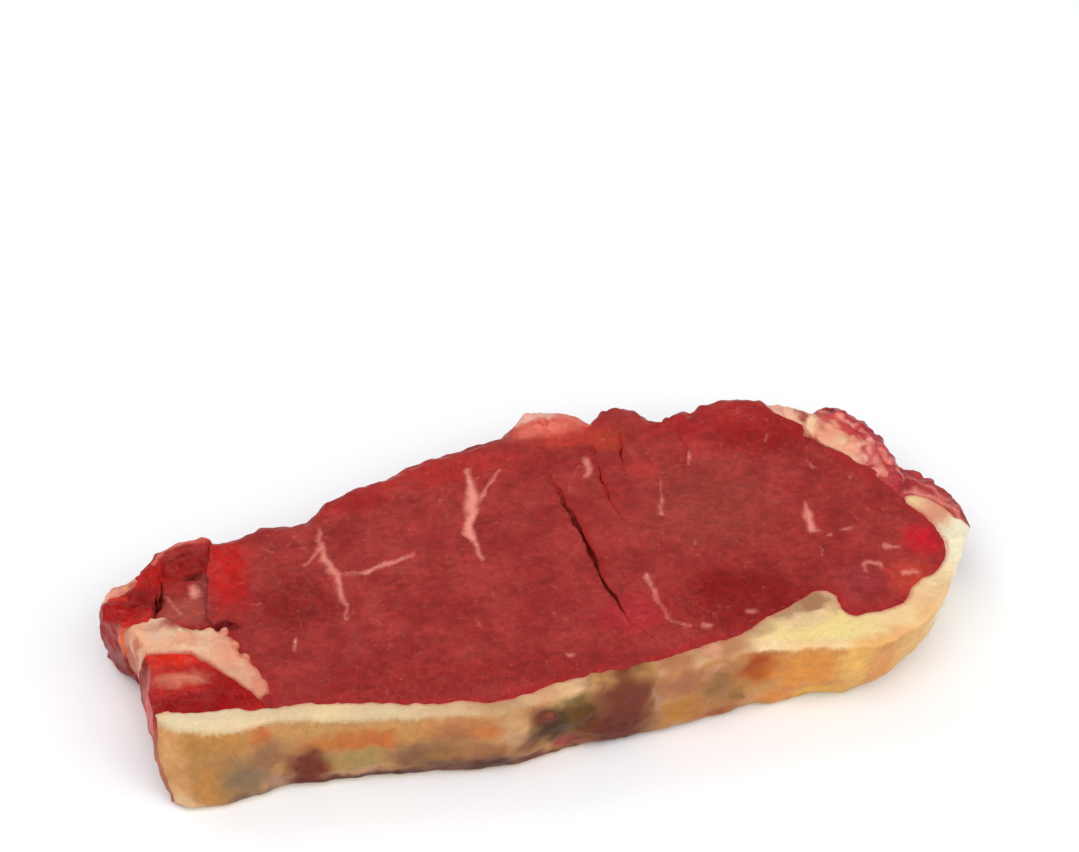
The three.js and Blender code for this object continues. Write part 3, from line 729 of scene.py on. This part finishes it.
TIP_SPOTS = [
    ((-98, -2, 23), (4, 4.4, ALL), "980604", 0.95),
    ((-99, 2.6, 22), (3, 1.6, ALL), "c83a2c", 0.7),
    ((-93, 0, 23), (2.6, 5, ALL), "7c0c0a", 0.9),
    ((-97, 4, 22), (4, 1.2, ALL), "8a1410", 0.8),
]
# Where the knife has opened the tip's side, a bit of orange fat shows between two red strands
TIP_SIDES = [
    ((-98, -9, 17.6), (2.6, 2.8, 4.6), "f47a50", 0.95),
    ((-101.6, -4, 16), (2.4, 5, 7), "a81214", 0.9),
    ((-100, 4, 8), (5, 6, 6), "8c2824", 0.7),
]
TIP_LINE = [(-99.4, 0), (-98, -3), (-95.4, -4), (-93, 0), (-93, 2.6)]
TIP_KNOBS = knobs_along(TIP_LINE, height=20.2, count=7, size=2.6, seed=5)
tip = cut_flesh("tail_tip_lean", "tail_tip_muscle", TIP_KNOBS)
# The tip is the wettest part of the tail, and a deep red under its shine
tip_red = raw_muscle(
    "raw beef, tip of the tail", "8c1012", "aa1614", "b42019", TIP_SPOTS, moist=0.15, sides=TIP_SIDES)
finish_lean(tip, "tail_tip_lean", tip_red, roughness=1.3)

TIP_FAT_LINE = [(-99.4, 3.4), (-97, 4.6), (-94, 6.2)]
TIP_FAT_KNOBS = knobs_along(TIP_FAT_LINE, height=19.6, count=9, size=1.5, seed=8)
tip_fat = cut_flesh("tail_tip_fat", "tail_tip_fat_edge", TIP_FAT_KNOBS)
# Only its upper half shows fat: lower down, lean has grown over it
TIP_FAT_SPOTS = [
    ((-99, 4, 2), (9, 9, 8), "962e2a", 0.95),
    ((-98.6, 5, 21), (1.8, 1.4, 3), "b8382c", 0.45),
    ((-96, 6.6, 21), (1.4, 1.6, 3), "e09a62", 0.8),
    ((-94, 6, 21), (1.6, 1.6, 3), "b43a30", 0.8),
    ((-99, 7.6, 19), (4, 1.6, 4), "a8483e", 0.7),
    ((-101, 2, 11), (2, 2.4, 5), "c8685c", 0.7),
    ((-100, 7.4, 10), (3, 1.8, 5), "a8483e", 0.9),
    ((-101, 4.4, 15.6), (3, 1, 2.4), "c0584c", 0.8),
    ((-97, 9, 9), (3, 2, 6), "9c3c34", 0.9),
    ((-96, 7, 13), (3, 2, 6), "cf8474", 0.7),
]
tip_cream = suet("raw beef fat, tip of the tail", "e6b09a", "d88c78", TIP_FAT_SPOTS, bled="c0584c")
finish_fat(tip_fat, "tail_tip_fat", tip_cream, roughness=1.4)

FLAP_SPOTS = [
    # Painted shade: a deep red band along the flap's upper cleft, darkening its recess
    ((-81, 10, 22), (8, 3.6, ALL), "860a06", 0.95),
    ((-85, 5, 22), (4, 3, ALL), "9c2c26", 0.7),
    ((-83, -4, 22), (7, 5, ALL), "a4483e", 0.9),
    ((-78, 3, 22), (2.4, 6, ALL), "8a3430", 0.8),
    ((-88, 10, 22), (3, 4, ALL), "a81410", 0.8),
    ((-80, 18, 21), (9, 1.6, ALL), "cc5a50", 0.9),
]
FLAP_VEINS = [
    ([(-80.2, 4), (-79.6, 1.2)], [1.8, 2.8]),
    ([(-88.4, 12.6), (-85, 16.4), (-78, 18.4)], [0.6, 1.0, 0.6]),
    ([(-87, 3), (-85, -1), (-84.4, -5)], [0.2, 0.6, 0.2]),
]
FLAP_CLEFTS = [
    ([(-86, 10), (-81, 9), (-76.6, 9)], [1.6, 2.4, 1.6]),
    ([(-90, -5), (-88.5, 1), (-87, 8)], [1.4, 2, 1.4]),
]
# The flap's free edge is rolled over, in one smooth curve from the tip to the eye, and a lump of it stands up
ROLL = [(-91.6, 6.6, 18.2), (-90, 11, 18.8), (-86.4, 14.6, 19.4), (-81, 16.6, 20), (-74.6, 16.8, 20.4)]
ROLL_REACH = [2.1, 2.1, 2.1]
FLAP_KNOBS = [(Vector((-84.4, 4.6, 18.6)), [2.6, 2.2, 1.6])]
for start, end in pairwise(ROLL):
    for share in (0, 0.2, 0.4, 0.6, 0.8):
        FLAP_KNOBS.append((Vector(start).lerp(Vector(end), share), ROLL_REACH))
flap = cut_flesh("tail_flap_lean", "tail_flap_muscle", FLAP_KNOBS)
# The flap was opened first, and has darkened
flap_red = raw_muscle("raw beef, belly flap", "7c100e", "982220", "a01412", FLAP_SPOTS)
finish_lean(flap, "tail_flap_lean", flap_red, FLAP_VEINS, FLAP_CLEFTS, roughness=1.1)

# The chain
# The thin side muscle along the back right, loosely held on by soft pink fat that the knife has torn.
# Further round, the end of the same muscle lies over the fat cap's rim.

CHAIN_FAT_SPOTS = [
    ((65, 37, 22), (5, 5, ALL), "e0a48c", 0.8),
    ((72, 31, 22), (2.6, 4, ALL), "e6bd98", 0.85),
    ((70.4, 34, 22), (1.0, 3, ALL), "8e201c", 0.85),
    ((70, 28.8, 22), (1.3, 1.6, ALL), "a83430", 0.6),
    ((72.6, 27.6, 22), (0.8, 1, ALL), "c4564c", 0.7),
    ((74, 33.4, 22), (0.9, 1.1, ALL), "ae3430", 0.8),
    ((76.6, 34.2, 22), (1.6, 1, ALL), "7c2420", 0.85),
    ((78.6, 29.4, 22), (1, 1.2, ALL), "a82824", 0.8),
    ((77.6, 24.4, 22), (2.6, 1.4, ALL), "e2ba94", 0.85),
    ((82.4, 23.4, 22), (1.2, 0.9, ALL), "e8a79c", 0.8),
    ((82.6, 20, 22), (0.9, 1.2, ALL), "9c1c1c", 0.8),
    ((75.4, 31.6, 22), (1.6, 2.6, ALL), "b43434", 0.8),
    ((81, 26.8, 22), (3, 3, ALL), "b83638", 0.95),
    ((84, 17, 22), (3, 4.4, ALL), "ba444a", 0.85),
    # The small pale pink spots here are painted wet highlights on the torn flesh; the deep red one among them
    # is its own mottle
    ((83.6, 19.4, 22), (0.7, 0.9, ALL), "e49c94", 0.55),
    ((85.2, 16.4, 22), (0.7, 1.1, ALL), "e0948c", 0.5),
    ((83.2, 14.8, 22), (0.9, 0.8, ALL), "a01c1c", 0.8),
    ((84.8, 12.2, 22), (1.6, 0.8, ALL), "e88c84", 0.8),
    ((82, 17.4, 22), (0.8, 0.9, ALL), "e2a48c", 0.8),
    ((75.6, 27, 22), (2.6, 3, ALL), "dc9478", 0.85),
    ((72, 40, 2), (14, 14, 7), "94302c", 0.85),
    ((66, 41, 9), (2.6, 4, 5), "a84c42", 0.8),
    ((70.6, 40, 15), (1.6, 4, 3.4), "bc6e5c", 0.7),
    ((74, 38, 9), (3, 4, 6), "9c3a36", 0.8),
]
CHAIN_FAT_LINE = [(64, 38), (70, 34), (75, 29), (80, 24), (84.5, 18)]
CHAIN_FAT_KNOBS = knobs_along(CHAIN_FAT_LINE, height=20.8, count=46, size=1.5, seed=12)
# Down the seam, the fat fills the space between the eye and the chain right through the slice
SEAM_LEFT, SEAM_RIGHT = Vector((69.4, 29.6, 11)), Vector((73.8, 23.2, 11))
for share in (0, 0.25, 0.5, 0.75, 1):
    CHAIN_FAT_KNOBS.append((SEAM_LEFT.lerp(SEAM_RIGHT, share), [1.5, 1.5, 10.6]))
# One more lump fills the hollow at its left end
CHAIN_FAT_KNOBS.append((Vector((70, 28.6, 19.4)), [1.9, 1.9, 2.3]))
chain_seam = cut_flesh("chain_fat", "chain_seam_of_fat", CHAIN_FAT_KNOBS)
# Torn rather than cut, it is rough and pink with the lean's juice
torn_fat = suet("raw beef fat, torn and pink", "e8b696", "dc9078", CHAIN_FAT_SPOTS, bled="b43a36")
finish_fat(chain_seam, "chain_fat", torn_fat, roughness=2.0)

CHAIN_VEINS = [
    ([(79, 33), (82, 29)], [1.0, 1.4]),
    ([(84, 27), (85.4, 23)], [1.2, 0.8]),
    ([(86, 20), (87.5, 15)], [1.0, 1.6]),
    ([(75, 35.6), (77, 33.6)], [1.2, 0.6]),
    ([(88.8, 12), (90, 8)], [1.4, 0.8]),
]
CHAIN_LINE = [(76, 35.6), (80, 33.4), (83.6, 29), (86.4, 22), (89, 14), (88.4, 9)]
CHAIN_KNOBS = knobs_along(CHAIN_LINE, height=20, count=40, size=1.5, seed=21)
chain = cut_flesh("chain_lean", "chain_muscle", CHAIN_KNOBS)
# Torn open along its length, it is wetter than the rest: its pale spots are partly threads and partly painted
# wet highlights, and its darkest spots are painted shade in the gaps between its strands
CHAIN_SPOTS = [
    ((79.4, 32, 22), (1.2, 1, ALL), "dc7a72", 0.8),
    ((82.3, 26.4, 22), (1.2, 1.4, ALL), "8e1a1c", 0.8),
    ((77, 34.4, 22), (1.8, 1, ALL), "6e1e1a", 0.85),
    ((81.2, 29.1, 22), (1, 1.2, ALL), "e48e86", 0.8),
    ((86.6, 15.6, 22), (1.2, 1.6, ALL), "b01c20", 0.8),
    ((84.6, 22.6, 22), (0.8, 1.4, ALL), "e89a92", 0.8),
]
chain_red = raw_muscle("raw beef, torn side muscle", "9a2228", "b83840", "c24a4c", CHAIN_SPOTS, moist=0.4)
finish_lean(chain, "chain_lean", chain_red, CHAIN_VEINS, roughness=2.0)

RIM_VEINS = [
    ([(90, 10), (96, 5), (101, -1.6)], [0.4, 0.9, 0.6]),
    ([(89.4, 5), (92, 4), (97, 1), (101, -5)], [1.0, 1.6, 1.4, 1.2]),
]
RIM_KNOBS = knobs_along([(91, 14), (95, 9), (100, 2)], height=19, count=14, size=1.3, seed=31)
rim = cut_flesh("rim_lean", "rim_muscle", RIM_KNOBS)
# Where it lies over the fat it has dried to a paler, greyer pink, with strands of fat along it
rim_red = raw_muscle("raw beef, dried rim", "8e282c", "a4363a", "b04242", moist=0.2)
finish_lean(rim, "rim_lean", rim_red, RIM_VEINS, roughness=1.4)

# The back edge
# A small pad of soft fat that grew on the back of the eye, and was left there when the rib was trimmed
# away. It is thin enough for the lean under it to tint it pink.

BACK_SPOTS = [
    ((11, 39, 23), (8, 2, ALL), "d26a58", 0.8),
    ((6, 43.6, 22), (7, 1.8, ALL), "e4b0a0", 0.8),
    ((9, 44, 3), (14, 9, 8), "8c2a26", 0.9),
]
PAD_KNOBS = knobs_along([(3, 42), (8, 43.6), (17, 42)], height=20.8, count=14, size=1.9, seed=41)
back_pad = cut_flesh("back_fat", "back_pad_of_fat", PAD_KNOBS)
pad_fat = suet("raw beef fat, back pad", "de8a78", "ca5c4c", BACK_SPOTS, bled="b83c2e")
finish_fat(back_pad, "back_fat", pad_fat, roughness=1.6)

# The table, the light and the camera
# A plain table covered in pale matt paper, under soft studio light: a large lamp in front, a weaker one at
# the right and a faint one behind. The camera looks down at 44 degrees through a long lens.

FLOOR_SIZE = 6.0  # m
TABLE_DROP = 0.0002  # m below the steak, so that no two faces share a plane
SKY_LIGHT = 0.42  # how strong the even white light from all around is
floor_mesh = bpy.data.meshes.new("table_top")
half = FLOOR_SIZE / 2
corners = [(-half, -half, 0), (half, -half, 0), (half, half, 0), (-half, half, 0)]
floor_mesh.from_pydata(corners, [], [(0, 1, 2, 3)])
table_top = bpy.data.objects.new("table_top", floor_mesh)
bpy.context.collection.objects.link(table_top)
paper = bpy.data.materials.new("matt white paper")
paper.use_nodes = True
paper.node_tree.nodes["Principled BSDF"].inputs["Base Color"].default_value = linear("f6f7f9")
paper.node_tree.nodes["Principled BSDF"].inputs["Roughness"].default_value = 0.9
table_top.data.materials.append(paper)
table_top.location.z = -TABLE_DROP

AIM = Vector((0.00569, 0.02821, 0.03496))  # m, what the camera and the lamps are turned to
# Each lamp: where it stands and its size, in metres, and its power in watts
LAMPS = [
    ("key", (-0.3, -0.7, 1.3), 1.5, 15),
    ("fill", (0.9, -0.8, 0.9), 1.3, 9),
    ("back", (-0.7, 0.9, 1.1), 0.9, 5),
]
for name, place, size, watts in LAMPS:
    lamp = bpy.data.lights.new(name, "AREA")
    lamp.size = size
    lamp.energy = watts
    held = bpy.data.objects.new(name, lamp)
    held.location = place
    held.rotation_euler = (AIM - Vector(place)).to_track_quat("-Z", "Y").to_euler()
    bpy.context.collection.objects.link(held)

sky = bpy.data.worlds.new("studio")
sky.use_nodes = True
sky.node_tree.nodes["Background"].inputs["Color"].default_value = (1, 1, 1, 1)
sky.node_tree.nodes["Background"].inputs["Strength"].default_value = SKY_LIGHT
bpy.context.scene.world = sky
bpy.context.scene.view_settings.view_transform = "Standard"

LENS, SENSOR, CAMERA_FAR = 170.16, 36, 1.2  # mm, mm and m
TOWARDS_CAMERA = Vector((-0.1249, -0.7084, 0.6947)).normalized()
camera = bpy.data.objects.new("camera", bpy.data.cameras.new("camera"))
camera.data.lens = LENS
camera.data.sensor_width = SENSOR
camera.data.clip_start = 0.01
across = Vector((0, 0, 1)).cross(TOWARDS_CAMERA).normalized()
upward = TOWARDS_CAMERA.cross(across)
turned = Matrix((across, upward, TOWARDS_CAMERA)).transposed().to_4x4()
camera.matrix_world = Matrix.Translation(AIM + TOWARDS_CAMERA * CAMERA_FAR) @ turned
bpy.context.collection.objects.link(camera)
bpy.context.scene.camera = camera
